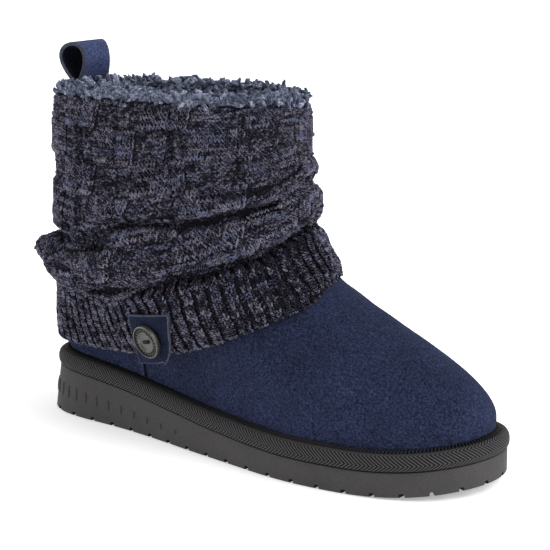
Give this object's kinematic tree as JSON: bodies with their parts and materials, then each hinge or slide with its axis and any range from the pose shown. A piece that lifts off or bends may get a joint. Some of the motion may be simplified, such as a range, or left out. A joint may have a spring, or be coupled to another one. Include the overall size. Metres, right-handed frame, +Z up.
{
  "type": "knit-cuff suede ankle boot",
  "caption": "Right pull-on suede ankle boot with a slouched knit cuff, pile lining rolled out at the collar, buttoned side tab, pull loop and wedge rubber sole.",
  "frame": {"origin": "on the floor, below the middle of the boot's bounding box", "axes": "+X towards the toe, +Y towards the medial side, +Z up; the lateral side with the tab and button faces -Y"},
  "size_m": [0.2832, 0.1095, 0.2025],
  "materials": {
    "rubber": "matt charcoal rubber with a fine moulded texture",
    "binding_tape": "charcoal herringbone tape",
    "pile": "curly grey-blue pile",
    "suede": "navy suede with a soft nap",
    "knit": "marled navy, charcoal and grey-blue yarn",
    "button_metal": "dull pewter"
  },
  "bodies": {
    "root": {"outsole": "rubber", "binding": "binding_tape", "insole": "pile", "upper": "suede", "pile_lining": "pile", "knit_cuff": "knit", "pull_loop": "suede", "side_tab": "suede", "button": "button_metal"}
  },
  "joints": []
}
